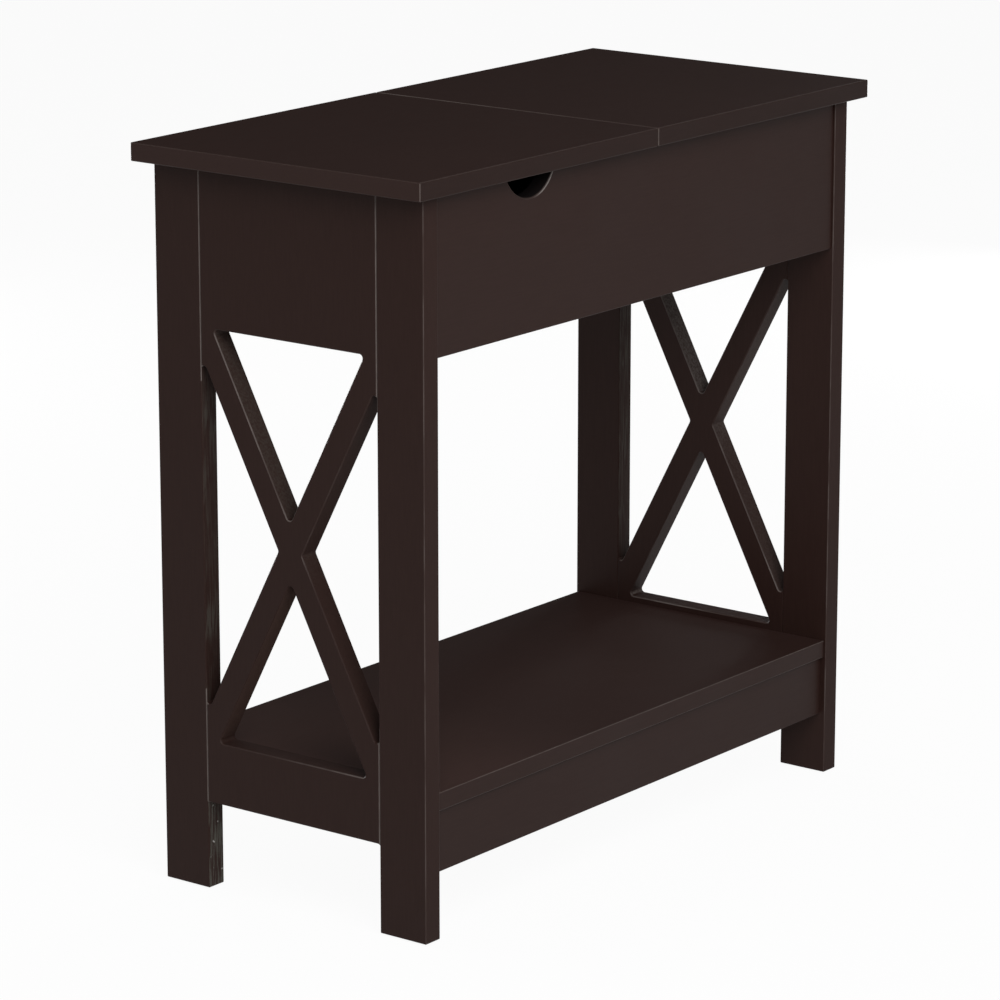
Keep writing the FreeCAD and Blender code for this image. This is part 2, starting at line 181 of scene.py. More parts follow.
class SurfaceBench(NodeBench):
    """The bench of one material, with the places and the facings on its surface."""

    def __init__(self, tree: bpy.types.NodeTree) -> None:
        """Keep the tree, and take its position and normal apart.

        Args:
            tree: The material's node tree.
        """
        super().__init__(tree)
        place = self.add("ShaderNodeTexCoord").outputs
        self.position = place["Object"]
        self.normal = place["Normal"]
        self.spot = self.split(self.position)
        self.face = self.split(self.normal)


@dataclass(frozen=True)
class Effect:
    """A shader node group that several finishes share, which puts out masks and heights."""

    name: str
    vectors: tuple[str, ...]
    values: tuple[str, ...]
    outputs: tuple[str, ...]

    def group(self) -> bpy.types.NodeTree:
        """Return the node group, built on first use."""
        return bpy.data.node_groups.get(self.name) or self.make_group()

    def make_group(self) -> bpy.types.NodeTree:
        """Make the group with its named sockets, and lay out its nodes.

        Returns:
            The new group.
        """
        tree = bpy.data.node_groups.new(self.name, "ShaderNodeTree")
        sockets = [(label, "INPUT", "NodeSocketVector") for label in self.vectors]
        sockets += [(label, "INPUT", "NodeSocketFloat") for label in self.values]
        sockets += [(label, "OUTPUT", "NodeSocketFloat") for label in self.outputs]
        for label, way, kind in sockets:
            tree.interface.new_socket(label, in_out=way, socket_type=kind)
        bench = NodeBench(tree)
        given = bench.add("NodeGroupInput").outputs
        wanted = bench.add("NodeGroupOutput").inputs
        for label, result in self.lay_out(bench, given).items():
            bench.feed(wanted[label], result)
        return tree

    def lay_out(self, bench: NodeBench, given: Sockets) -> dict[str, Socket]:
        """Lay out the group's nodes, from what it is given to its outputs by name."""
        raise NotImplementedError

    def place(self, bench: SurfaceBench, **values: object) -> Sockets:
        """Place the group in a material.

        Args:
            bench: The material's bench.
            values: Values for the group's inputs, with _ for spaces, apart from Position and Normal.

        Returns:
            The group's outputs.
        """
        node = bench.add("ShaderNodeGroup", node_tree=self.group())
        values = {"Position": bench.position, "Normal": bench.normal, **values}
        for label in self.vectors + self.values:
            bench.feed(node.inputs[label], values[label.replace(" ", "_")])
        return node.outputs


@dataclass(frozen=True)
class LacquerSkin(Effect):
    """A sprayed lacquer skin: slow mottle, fine fibre lines and a slight orange peel."""

    name: str = "lacquer_skin"
    vectors: tuple[str, ...] = ("Position", "Stretch")
    values: tuple[str, ...] = ()
    outputs: tuple[str, ...] = ("Mottle", "Fibre", "Height")
    mottle_scale: float = 9.0
    fibre_scale: float = 42.0
    fibre_range: Span = (0.34, 0.66)
    fibre_height: float = 0.55
    peel_scale: float = 950.0
    peel_height: float = 0.45

    def lay_out(self, bench: NodeBench, given: Sockets) -> dict[str, Socket]:
        """Lay out the mottle, the fibre lines and the peel.

        Args:
            bench: The group's bench.
            given: The group's inputs.

        Returns:
            The group's outputs by name.
        """
        along = bench.vector("MULTIPLY", given["Position"], given["Stretch"])["Vector"]
        mottle = bench.noise(given["Position"], self.mottle_scale, 3.0)
        fibre = bench.noise(along, self.fibre_scale, 5.0, 0.62)
        peel = bench.product(bench.noise(given["Position"], self.peel_scale, 1.0), self.peel_height)
        height = bench.maths("MULTIPLY_ADD", fibre, self.fibre_height, peel)
        return {"Mottle": mottle, "Fibre": bench.spread(fibre, *self.fibre_range), "Height": height}


@dataclass(frozen=True)
class EdgeHighlight(Effect):
    """Painted highlights on rounded edges: a paler colour that stands in for the light they catch.

    Corner marks every rounded edge of a square board, and Upright only those
    that stand up. Rim marks only the edges of the two faces that look along
    Axis, so that slanted or round cut faces stay clear of it, and only up to
    Reach from the middle of the table.
    """

    name: str = "painted_edge_highlight"
    vectors: tuple[str, ...] = ("Position", "Normal", "Axis")
    values: tuple[str, ...] = ("Reach",)
    outputs: tuple[str, ...] = ("Corner", "Upright", "Rim")
    edge_range: Span = (0.004, 0.1)
    upright_range: Span = (0.1, 0.4)
    patch_scale: float = 55.0
    patch_range: Span = (0.28, 0.66)
    patch_share: Span = (0.7, 1.0)

    def lay_out(self, bench: NodeBench, given: Sockets) -> dict[str, Socket]:
        """Tell edges from faces by how far the normal leans.

        Args:
            bench: The group's bench.
            given: The group's inputs.

        Returns:
            The group's outputs by name.
        """
        size = bench.vector("ABSOLUTE", given["Normal"])["Vector"]
        parts = bench.split(size)
        side = bench.maths("MAXIMUM", parts["X"], parts["Y"])
        corner = bench.maths("SUBTRACT", 1.0, bench.maths("MAXIMUM", side, parts["Z"]))
        along = bench.vector("DOT_PRODUCT", size, given["Axis"])["Value"]
        square = bench.maths("SUBTRACT", 1.0, bench.product(along, along))
        across = bench.maths("SQRT", bench.maths("MAXIMUM", square, 0.0))
        rim = bench.maths("SUBTRACT", 1.0, bench.maths("MAXIMUM", along, across))
        patch = bench.noise(given["Position"], self.patch_scale, 4.0, 0.6)
        share = bench.spread(patch, *self.patch_range, *self.patch_share)
        corner = bench.product(bench.spread(corner, *self.edge_range), share)
        upright = bench.product(corner, bench.spread(parts["Z"], *self.upright_range, 1.0, 0.0))
        off = bench.maths("ABSOLUTE", bench.split(given["Position"])["X"])
        near = bench.maths("LESS_THAN", off, given["Reach"])
        rim = bench.product(bench.spread(rim, *self.edge_range), share, near)
        return {"Corner": corner, "Upright": upright, "Rim": rim}


@dataclass(frozen=True)
class RoutedEdge(Effect):
    """The rough faces that a cutter leaves on the edge of a board, and the masks for the painted light and
    highlights on them.

    Cut marks the faces of the openings, Inner the long edges of a leg that look
    at the other leg, and Outer those that look away from it. Line marks the
    edges at Joint from the middle, where a leg meets the panel, and Groove the
    parts of it above High and between Low and Foot that show outside, which get
    a painted highlight. Upper is high on edges that look up, which get most of
    the painted highlight, Slope on those that look up at a slant, which get the
    pale cut colour, partly painted light, and Under on those that look down,
    which get painted light. Patch breaks the painted highlight and the streaks
    into patches. Fuzz and Streak are the roughness of the cut. Streak and Chip
    are strongest below Foot, where the coat is thin.
    """

    name: str = "routed_edge"
    vectors: tuple[str, ...] = ("Position", "Normal")
    values: tuple[str, ...] = ("Joint", "High", "Low", "Foot")
    outputs: tuple[str, ...] = (
        "Cut", "Inner", "Outer", "Line", "Groove", "Upper",
        "Slope", "Under", "Patch", "Fuzz", "Streak", "Chip",
    )
    cut_range: Span = (0.1, 0.4)
    edge_range: Span = (0.6, 0.9)
    line_range: Span = (1.2 * MM, 2.2 * MM)
    outside: float = (PANEL_LOW.x + PANEL_HIGH.x) / 2
    streak_stretch: Triple = (1.0, 1.0, 0.06)
    streak_scale: float = 560.0
    streak_range: Span = (0.42, 0.62)
    fuzz_scale: float = 520.0
    patch_scale: float = 24.0
    chip_scale: float = 190.0
    chip_range: Span = (0.69, 0.72)

    def lay_out(self, bench: NodeBench, given: Sockets) -> dict[str, Socket]:
        """Tell the edges by where they are and which way they look.

        Args:
            bench: The group's bench.
            given: The group's inputs.

        Returns:
            The group's outputs by name.
        """
        face = bench.split(given["Normal"])
        spot = bench.split(given["Position"])
        inward = bench.product(face["Y"], bench.maths("SIGN", spot["Y"]), -1.0)
        off = bench.maths("SUBTRACT", bench.maths("ABSOLUTE", spot["Y"]), given["Joint"])
        line = bench.spread(bench.maths("ABSOLUTE", off), *self.line_range, 1.0, 0.0)
        above = bench.maths("GREATER_THAN", spot["Z"], given["High"])
        foot = bench.maths("LESS_THAN", spot["Z"], given["Foot"])
        below = bench.maths("SUBTRACT", bench.maths("LESS_THAN", spot["Z"], given["Low"]), foot)
        outside = bench.maths("GREATER_THAN", bench.maths("ABSOLUTE", spot["X"]), self.outside)
        groove = bench.product(line, bench.maths("MAXIMUM", above, below), outside)
        upper = bench.spread(face["Z"], -0.4, 0.4, 0.2, 1.0)
        slope = bench.product(upper, bench.spread(face["Z"], 0.6, 0.85, 1.0, 0.0))
        patch = bench.spread(bench.noise(given["Position"], self.patch_scale, 2.0), 0.4, 0.6, 0.4, 1.0)
        thin = bench.maths("MAXIMUM", foot, bench.product(patch, 0.5))
        along = bench.vector("MULTIPLY", given["Position"], self.streak_stretch)["Vector"]
        streak = bench.noise(along, self.streak_scale, 4.0, 0.65)
        streak.node.inputs["Distortion"].default_value = 0.35
        chip = bench.noise(given["Position"], self.chip_scale, 1.0)
        return {
            "Cut": bench.spread(bench.maths("ABSOLUTE", face["X"]), *self.cut_range, 1.0, 0.0),
            "Inner": bench.spread(inward, *self.edge_range),
            "Outer": bench.spread(bench.product(inward, -1.0), *self.edge_range),
            "Line": line,
            "Groove": groove,
            "Upper": upper,
            "Slope": slope,
            "Under": bench.spread(face["Z"], -0.4, -0.2, 1.0, 0.0),
            "Patch": patch,
            "Fuzz": bench.noise(given["Position"], self.fuzz_scale, 4.0, 0.6),
            "Streak": bench.product(bench.spread(streak, *self.streak_range), thin),
            "Chip": bench.product(bench.spread(chip, *self.chip_range), foot),
        }


@dataclass(frozen=True)
class ArmLightShare(Effect):
    """How the painted highlights and the pale cut colour, which is partly painted light, are shared out
    over the arms of an X and the ledge under them.

    Share is all of it above Crossing and Low Share of it on the lower
    arms. On the ledge at Sill it goes from Ledge Front to Ledge Rear. Lower
    marks what lies below Crossing.
    """

    name: str = "arm_light_share"
    vectors: tuple[str, ...] = ("Position",)
    values: tuple[str, ...] = ("Crossing", "Sill", "Low Share", "Ledge Front", "Ledge Rear")
    outputs: tuple[str, ...] = ("Share", "Lower")
    fade: float = 30.0 * MM
    ledge_range: Span = (4.0 * MM, 8.0 * MM)
    ledge_half: float = 35.0 * MM

    def lay_out(self, bench: NodeBench, given: Sockets) -> dict[str, Socket]:
        """Weigh the painted light and highlights by height, and on the ledge from front to rear.

        Args:
            bench: The group's bench.
            given: The group's inputs.

        Returns:
            The group's outputs by name.
        """
        spot = bench.split(given["Position"])
        above = bench.maths("SUBTRACT", spot["Z"], given["Crossing"])
        arms = bench.spread(above, -self.fade, self.fade, given["Low Share"], 1.0)
        ledge = bench.spread(bench.maths("SUBTRACT", spot["Z"], given["Sill"]), *self.ledge_range, 1.0, 0.0)
        ends = (given["Ledge Front"], given["Ledge Rear"])
        along = bench.spread(spot["Y"], -self.ledge_half, self.ledge_half, *ends)
        off_ledge = bench.product(arms, bench.maths("SUBTRACT", 1.0, ledge))
        share = bench.maths("ADD", off_ledge, bench.product(ledge, along))
        return {"Share": share, "Lower": bench.spread(above, -self.fade, 0.0, 1.0, 0.0)}


@dataclass(frozen=True)
class BrushLines(Effect):
    """Fine lines and tarnish on plated or cast metal."""

    name: str = "brush_lines"
    vectors: tuple[str, ...] = ("Position", "Stretch")
    values: tuple[str, ...] = ()
    outputs: tuple[str, ...] = ("Lines", "Tarnish")
    line_scale: float = 260.0
    tarnish_scale: float = 170.0

    def lay_out(self, bench: NodeBench, given: Sockets) -> dict[str, Socket]:
        """Lay out the lines and the tarnish.

        Args:
            bench: The group's bench.
            given: The group's inputs.

        Returns:
            The group's outputs by name.
        """
        along = bench.vector("MULTIPLY", given["Position"], given["Stretch"])["Vector"]
        lines = bench.noise(along, self.line_scale, 4.0, 0.65)
        tarnish = bench.noise(given["Position"], self.tarnish_scale, 3.0, 0.55)
        return {"Lines": bench.spread(lines, 0.3, 0.7), "Tarnish": bench.spread(tarnish, 0.35, 0.75)}


LACQUER_SKIN = LacquerSkin()
EDGE_HIGHLIGHT = EdgeHighlight()
ROUTED_EDGE = RoutedEdge()
ARM_LIGHT_SHARE = ArmLightShare()
BRUSH_LINES = BrushLines()


@dataclass
class Coat:
    """What lies on a surface: its colour, roughness and height."""

    colour: Socket
    gloss: Socket
    height: Socket


@dataclass(frozen=True)
class Finish:
    """A procedural material."""

    name: str

    def material(self) -> bpy.types.Material:
        """Return the material, built on first use."""
        return bpy.data.materials.get(self.name) or self.make_material()

    def make_material(self) -> bpy.types.Material:
        """Make the material: one shader, fed by the finish's nodes.

        Returns:
            The new material.
        """
        made = bpy.data.materials.new(self.name)
        made.use_nodes = True
        made.node_tree.nodes.clear()
        bench = SurfaceBench(made.node_tree)
        skin = bench.add("ShaderNodeBsdfPrincipled")
        bench.add("ShaderNodeOutputMaterial", skin.outputs["BSDF"])
        self.paint(bench, skin)
        return made

    def paint(self, bench: SurfaceBench, skin: bpy.types.Node) -> None:
        """Lay out the nodes that feed the shader."""
        raise NotImplementedError

    def lay_coat(self, bench: SurfaceBench, skin: bpy.types.Node, coat: Coat, depth: float) -> None:
        """Feed a coat to the shader.

        Args:
            bench: The material's bench.
            skin: The shader.
            coat: The coat.
            depth: How deep its height goes, in metres.
        """
        bump = bench.add("ShaderNodeBump")
        bump.inputs["Strength"].default_value = 1.0
        bump.inputs["Distance"].default_value = depth
        bench.feed(bump.inputs["Height"], coat.height)
        bench.feed(skin.inputs["Base Color"], coat.colour)
        bench.feed(skin.inputs["Roughness"], coat.gloss)
        bench.feed(skin.inputs["Normal"], bump.outputs["Normal"])


@dataclass(frozen=True)
class Lacquer(Finish):
    """Espresso lacquer on a board."""

    deep: Triple = (0.0240, 0.0113, 0.0090)
    lit: Triple = (0.0300, 0.0150, 0.0122)
    edge: Triple = (0.0400, 0.0235, 0.0205)
    # Colour of the painted edge highlight, and the shares that set how strong it is.
    highlight_colour: Triple = (0.170, 0.145, 0.134)
    highlight_share: float = 0.14
    upright_highlight: float = 0.0
    highlight_axis: Triple = (0.0, 0.0, 0.0)
    highlight_reach: float = APRON_HIGH.x - 4.0 * MM
    grain: GrainAxis = GrainAxis.LENGTH
    fibre_tone: float = 0.4
    mottle_tone: float = 0.6
    gloss_low: float = 0.45
    gloss_high: float = 0.50
    specular: float = 0.09
    depth: float = 0.04 * MM

    def paint(self, bench: SurfaceBench, skin: bpy.types.Node) -> None:
        """Spray the coat, work it and paint highlights on its edges.

        Args:
            bench: The material's bench.
            skin: The shader.
        """
        marks = LACQUER_SKIN.place(bench, Stretch=self.grain.value)
        mottle = bench.product(marks["Mottle"], self.mottle_tone)
        tone = bench.maths("MULTIPLY_ADD", marks["Fibre"], self.fibre_tone, mottle)
        colour = bench.blend(tone, self.deep, self.lit)
        gloss = bench.spread(marks["Mottle"], 0.3, 0.7, self.gloss_low, self.gloss_high)
        coat = Coat(colour, gloss, marks["Height"])
        self.work(bench, coat)
        edges = EDGE_HIGHLIGHT.place(bench, Axis=self.highlight_axis, Reach=self.highlight_reach)
        # The paler edge colour laid here is a painted highlight, standing in for the light the rounded
        # edges catch.
        coat.colour = bench.blend(self.wear_and_highlight(bench, edges), coat.colour, self.highlight_colour)
        skin.inputs["Specular IOR Level"].default_value = self.specular
        self.lay_coat(bench, skin, coat, self.depth)

    def work(self, bench: SurfaceBench, coat: Coat) -> None:
        """Change the coat for marks of tools and use, and for painted light and shade."""

    def wear_and_highlight(self, bench: SurfaceBench, edges: Sockets) -> Socket:
        """Weigh the painted highlight on each edge.

        Args:
            bench: The material's bench.
            edges: The marks of the board's edges.

        Returns:
            The share of the painted highlight colour, 0 to 1.
        """
        if any(self.highlight_axis):
            return bench.product(edges["Rim"], self.highlight_share)
        upright = bench.product(edges["Upright"], self.upright_highlight)
        return bench.maths("ADD", bench.product(edges["Corner"], self.highlight_share), upright)


@dataclass(frozen=True)
class SeamLacquer(Lacquer):
    """Lacquer on the two halves of the top, with painted shade on the long edges, painted light on the end
    edges and a painted highlight along the seam.
    """

    facing: Span = (0.6, 0.9)
    # Shares of the painted light on the end edges and the painted shade on the long edges.
    end_edge_light: float = 0.55
    long_edge_shade: Triple = (0.76, 0.76, 0.76)
    seam_half: float = 1.6 * MM - LID_HIGH.x
    seam_ends: Span = (LID_LOW.y, LID_HIGH.y)
    seam_highlight: Span = (0.22, 0.55)

    def work(self, bench: SurfaceBench, coat: Coat) -> None:
        """Paint shade on the long edges, and paint light on the end edges.

        Args:
            bench: The material's bench.
            coat: The coat to change.
        """
        # Painted shade on the long edges and painted light on the end edges of the top boards.
        long_edges = bench.spread(bench.maths("ABSOLUTE", bench.face["Y"]), *self.facing)
        coat.colour = bench.blend(long_edges, coat.colour, self.long_edge_shade, "MULTIPLY")
        ends = bench.spread(bench.maths("ABSOLUTE", bench.face["X"]), *self.facing, 0.0, self.end_edge_light)
        coat.colour = bench.blend(ends, coat.colour, self.edge)

    def wear_and_highlight(self, bench: SurfaceBench, edges: Sockets) -> Socket:
        """Weigh the painted highlight on each edge, strongest along the rear of the seam.

        Args:
            bench: The material's bench.
            edges: The marks of the board's edges.

        Returns:
            The share of the painted highlight colour, 0 to 1.
        """
        # Painted highlight along the seam, stronger towards the rear.
        near = bench.maths("LESS_THAN", bench.maths("ABSOLUTE", bench.spot["X"]), self.seam_half)
        along = bench.spread(bench.spot["Y"], *self.seam_ends, *self.seam_highlight)
        seam = bench.product(edges["Corner"], near, along)
        return bench.maths("MAXIMUM", seam, super().wear_and_highlight(bench, edges))


@dataclass(frozen=True)
class ShelfLacquer(Lacquer):
    """Lacquer on the shelf, with painted light that makes its top paler, most of all at the left end, which
    lies in shade.
    """

    facing: Span = (0.7, 0.95)
    # Painted light on the shelf's top face, stronger at the left end.
    top_light_tint: Triple = (1.15, 1.24, 1.30)
    left_top_light_tint: Triple = (1.70, 1.87, 1.95)
    left_range: Span = (SHELF_LOW.x + 31.0 * MM, SHELF_LOW.x + 211.0 * MM)

    def work(self, bench: SurfaceBench, coat: Coat) -> None:
        """Paint light on the face that looks up.

        Args:
            bench: The material's bench.
            coat: The coat to change.
        """
        # Painted light: the top face is made paler, most of all towards the left end, which lies in shade.
        top = bench.spread(bench.face["Z"], *self.facing)
        left = bench.spread(bench.spot["X"], *self.left_range, 1.0, 0.0)
        tarnish_and_light = bench.blend(left, self.top_light_tint, self.left_top_light_tint)
        coat.colour = bench.blend(top, coat.colour, tarnish_and_light, "MULTIPLY")


@dataclass(frozen=True)
class RoutedLacquer(Lacquer):
    """Lacquer on a board of an end frame, whose edges a cutter has left rough, with painted light on its
    cut faces and painted highlights on its edges.
    """

    # The first colour is the pale cut colour, partly the cut's own and partly painted light.
    pale_cut_and_light: Triple = (0.045, 0.033, 0.028)
    streaked: Triple = (0.084, 0.081, 0.068)
    chipped: Triple = (0.340, 0.330, 0.310)
    # Painted light on cut faces that look down.
    underside_light: Triple = (0.056, 0.033, 0.027)
    grain: GrainAxis = GrainAxis.HEIGHT
    highlight_axis: Triple = (1.0, 0.0, 0.0)
    highlight_reach: float = 1000.0 * MM
    cut_share: float = 0.0
    underside_light_share: float = 0.0
    inner_share: float = 0.0
    outer_share: float = 0.0
    low_highlight: float = 1.0
    low_cut_light: float = 1.0
    ledge_front: float = 1.0
    ledge_rear: float = 1.0
    joint: float = PANEL_HIGH.y
    groove_high: float = HEAD_BOTTOM - 43.5 * MM
    groove_low: float = LEDGE_TOP + 43.5 * MM
    groove_foot: float = 75.0 * MM
    groove_highlight: float = 0.8
    crossing: float = (LEDGE_TOP + HEAD_BOTTOM) / 2
    sill: float = LEDGE_TOP
    fuzz_range: Span = (0.34, 0.66)
    fuzz_height: float = 1.5
    streak_height: float = 3.0
    cut_gloss: float = 0.15

    def routed(self, bench: SurfaceBench) -> Sockets:
        """Place the routed edge group for this board."""
        marks = {"Joint": self.joint, "High": self.groove_high, "Low": self.groove_low}
        return ROUTED_EDGE.place(bench, Foot=self.groove_foot, **marks)

    def by_height(self, bench: SurfaceBench, low_share: float) -> Sockets:
        """Place the group that shares out the painted light and highlights by height, with the share left
        on the lower arms.
        """
        ledge = {"Sill": self.sill, "Ledge_Front": self.ledge_front, "Ledge_Rear": self.ledge_rear}
        return ARM_LIGHT_SHARE.place(bench, Crossing=self.crossing, Low_Share=low_share, **ledge)

    def work(self, bench: SurfaceBench, coat: Coat) -> None:
        """Roughen the cut faces and the inner edges, lighten the outer edges, and make the cut faces paler,
        partly as their own colour and partly as painted light.

        Args:
            bench: The material's bench.
            coat: The coat to change.
        """
        marks = self.routed(bench)
        wear = self.by_height(bench, self.low_cut_light)
        dry = bench.spread(marks["Fuzz"], *self.fuzz_range, 0.3, 1.0)
        inner = bench.product(marks["Inner"], marks["Streak"])
        # Painted light: the underside colour lightens cut faces that look down on the lower arms, and the
        # pale cut colour is partly the rough cut's own colour and partly painted light on faces that look
        # up at a slant.
        layers = (
            (self.edge, (marks["Outer"], self.outer_share)),
            (self.underside_light, (marks["Cut"], marks["Under"], wear["Lower"], self.underside_light_share)),
            (self.pale_cut_and_light, (marks["Cut"], marks["Slope"], dry, wear["Share"], self.cut_share)),
            (self.streaked, (inner, self.inner_share)),
            (self.chipped, (marks["Inner"], marks["Chip"], self.inner_share)),
        )
        for colour, masks in layers:
            coat.colour = bench.blend(bench.product(*masks), coat.colour, colour)
        coat.gloss = bench.maths("MULTIPLY_ADD", marks["Cut"], self.cut_gloss, coat.gloss)
        fuzz = bench.product(marks["Cut"], marks["Fuzz"])
        coat.height = bench.maths("MULTIPLY_ADD", fuzz, self.fuzz_height, coat.height)
        coat.height = bench.maths("MULTIPLY_ADD", inner, self.streak_height, coat.height)

    def wear_and_highlight(self, bench: SurfaceBench, edges: Sockets) -> Socket:
        """Weigh the painted highlight on each edge, strongest along the grooves.

        Args:
            bench: The material's bench.
            edges: The marks of the board's edges.

        Returns:
            The share of the painted highlight colour, 0 to 1.
        """
        marks = self.routed(bench)
        wear = self.by_height(bench, self.low_highlight)
        # Painted highlight along the rims and the grooves, shared out over the arms and the ledge.
        off_line = bench.spread(marks["Line"], 0.0, 1.0, self.highlight_share, 0.0)
        plain = bench.product(wear["Share"], marks["Patch"], off_line, marks["Upper"])
        share = bench.maths("MULTIPLY_ADD", marks["Groove"], self.groove_highlight, plain)
        return bench.product(edges["Rim"], share)


@dataclass(frozen=True)
class NotchedLacquer(Lacquer):
    """Lacquer on the board with the finger notch, with a painted highlight around its rim and painted shade
    on its wall.
    """

    notch_radius: float = 32.0 * MM
    notch_depth: float = 20.0 * MM
    notch_highlight: float = 0.9
    left_share: float = 0.12
    right_turn: float = 0.7
    face_y: float = APRON_LOW.y
    rim_width: Span = (1.6 * MM, 2.4 * MM)
    rim_depth: Span = (0.4 * MM, 0.9 * MM)
    wall_width: Span = (0.4 * MM, 1.0 * MM)
    wall_depth: Span = (0.8 * MM, 1.6 * MM)
    wall_gloss: float = 0.3
    # Colour of the painted shade on the notch's wall.
    notch_wall_shade: Triple = (0.0100, 0.0074, 0.0076)

    @property
    def notch_spot(self) -> Triple:
        """The middle of the notch's round, halfway along the lid."""
        return (LID_LOW.x + LID_HIGH.x) / 2, 0.0, LID_LOW.z - self.notch_depth + self.notch_radius

    def around(self, bench: SurfaceBench) -> tuple[Socket, Socket]:
        """Measure a point against the notch.

        Args:
            bench: The material's bench.

        Returns:
            How far the point is outside the notch's round, and how far behind the face.
        """
        offset = bench.vector("SUBTRACT", bench.position, self.notch_spot)["Vector"]
        flat = bench.vector("MULTIPLY", offset, (1.0, 0.0, 1.0))["Vector"]
        outside = bench.maths("SUBTRACT", bench.vector("LENGTH", flat)["Value"], self.notch_radius)
        return outside, bench.maths("SUBTRACT", bench.spot["Y"], self.face_y)

    def work(self, bench: SurfaceBench, coat: Coat) -> None:
        """Paint shade on the wall of the notch, and roughen it.

        Args:
            bench: The material's bench.
            coat: The coat to change.
        """
        outside, behind = self.around(bench)
        inside = bench.spread(behind, *self.wall_depth)
        wall = bench.product(bench.spread(outside, *self.wall_width, 1.0, 0.0), inside)
        # Painted shade: the wall inside the notch is darkened.
        coat.colour = bench.blend(wall, coat.colour, self.notch_wall_shade)
        coat.gloss = bench.maths("MULTIPLY_ADD", wall, self.wall_gloss, coat.gloss)

    def wear_and_highlight(self, bench: SurfaceBench, edges: Sockets) -> Socket:
        """Weigh the painted highlight on each edge, strongest around the right of the notch.

        Args:
            bench: The material's bench.
            edges: The marks of the board's edges.

        Returns:
            The share of the painted highlight colour, 0 to 1.
        """
        # Painted highlight around the notch's rim, strongest on its right.
        outside, behind = self.around(bench)
        middle = self.notch_spot[0]
        right = middle + self.right_turn * self.notch_radius
        side = bench.spread(bench.spot["X"], middle, right, self.left_share, 1.0)
        close = bench.spread(outside, *self.rim_width, 1.0, 0.0)
        rim = bench.product(close, bench.spread(behind, *self.rim_depth, 1.0, 0.0), side)
        return bench.product(edges["Rim"], bench.spread(rim, 0.0, 1.0, self.highlight_share, self.notch_highlight))


@dataclass(frozen=True)
class Metal(Finish):
    """Plated or cast metal with fine lines."""

    bright: Triple = (0.56, 0.55, 0.53)
    tarnish_and_light: Triple = (0.36, 0.35, 0.33)
    grain: GrainAxis = GrainAxis.LENGTH
    gloss_low: float = 0.26
    gloss_high: float = 0.44
    depth: float = 0.01 * MM

    def paint(self, bench: SurfaceBench, skin: bpy.types.Node) -> None:
        """Draw the lines and the tarnish.

        Args:
            bench: The material's bench.
            skin: The shader.
        """
        marks = BRUSH_LINES.place(bench, Stretch=self.grain.value)
        colour = bench.blend(marks["Tarnish"], self.bright, self.tarnish_and_light)
        gloss = bench.spread(marks["Lines"], 0.0, 1.0, self.gloss_low, self.gloss_high)
        skin.inputs["Metallic"].default_value = 1.0
        self.lay_coat(bench, skin, Coat(colour, gloss, marks["Lines"]), self.depth)


@dataclass(frozen=True)
class BareBeech(Finish):
    """Plain beech, with darker grain lines."""

    pale: Triple = (0.56, 0.38, 0.22)
    dark: Triple = (0.38, 0.22, 0.11)
    grain: GrainAxis = GrainAxis.LENGTH
    gloss_low: float = 0.60
    gloss_high: float = 0.75
    depth: float = 0.08 * MM

    def paint(self, bench: SurfaceBench, skin: bpy.types.Node) -> None:
        """Draw the grain.

        Args:
            bench: The material's bench.
            skin: The shader.
        """
        marks = LACQUER_SKIN.place(bench, Stretch=self.grain.value)
        colour = bench.blend(marks["Fibre"], self.pale, self.dark)
        gloss = bench.spread(marks["Mottle"], 0.3, 0.7, self.gloss_low, self.gloss_high)
        self.lay_coat(bench, skin, Coat(colour, gloss, marks["Height"]), self.depth)


@dataclass(frozen=True)
class MouldedNylon(Finish):
    """Dark moulded nylon with a fine texture."""

    colour: Triple = (0.030, 0.026, 0.024)
    wear_and_highlight: Triple = (0.060, 0.054, 0.050)
    stretch: Triple = (3.0, 3.0, 3.0)
    gloss_low: float = 0.5
    gloss_high: float = 0.7
    depth: float = 0.03 * MM

    def paint(self, bench: SurfaceBench, skin: bpy.types.Node) -> None:
        """Draw the texture of the mould and the wear.

        Args:
            bench: The material's bench.
            skin: The shader.
        """
        marks = BRUSH_LINES.place(bench, Stretch=self.stretch)
        colour = bench.blend(marks["Tarnish"], self.colour, self.wear_and_highlight)
        gloss = bench.spread(marks["Lines"], 0.0, 1.0, self.gloss_low, self.gloss_high)
        self.lay_coat(bench, skin, Coat(colour, gloss, marks["Lines"]), self.depth)


ALONG_Y = (0.0, 1.0, 0.0)
# Each edge share given below sets the strength of the painted edge highlight.
TOP_LACQUER = SeamLacquer("top_board_lacquer", highlight_share=0.10, upright_highlight=0.40)
SHELF_LACQUER = ShelfLacquer("shelf_board_lacquer", highlight_share=0.50)
APRON_LACQUER = Lacquer("apron_board_lacquer", highlight_share=0.15, highlight_axis=ALONG_Y)
# The notch board's paler edge colour is a painted highlight on its rim.
NOTCH_LACQUER = NotchedLacquer(
    "front_apron_lacquer", highlight_colour=(0.300, 0.270, 0.255), highlight_share=0.085, highlight_axis=ALONG_Y
)
FLOOR_LACQUER = Lacquer("floor_board_lacquer", gloss_low=0.55, gloss_high=0.7)
LEG_LACQUER = RoutedLacquer("leg_lacquer", highlight_share=0.62, inner_share=0.9, outer_share=0.2)
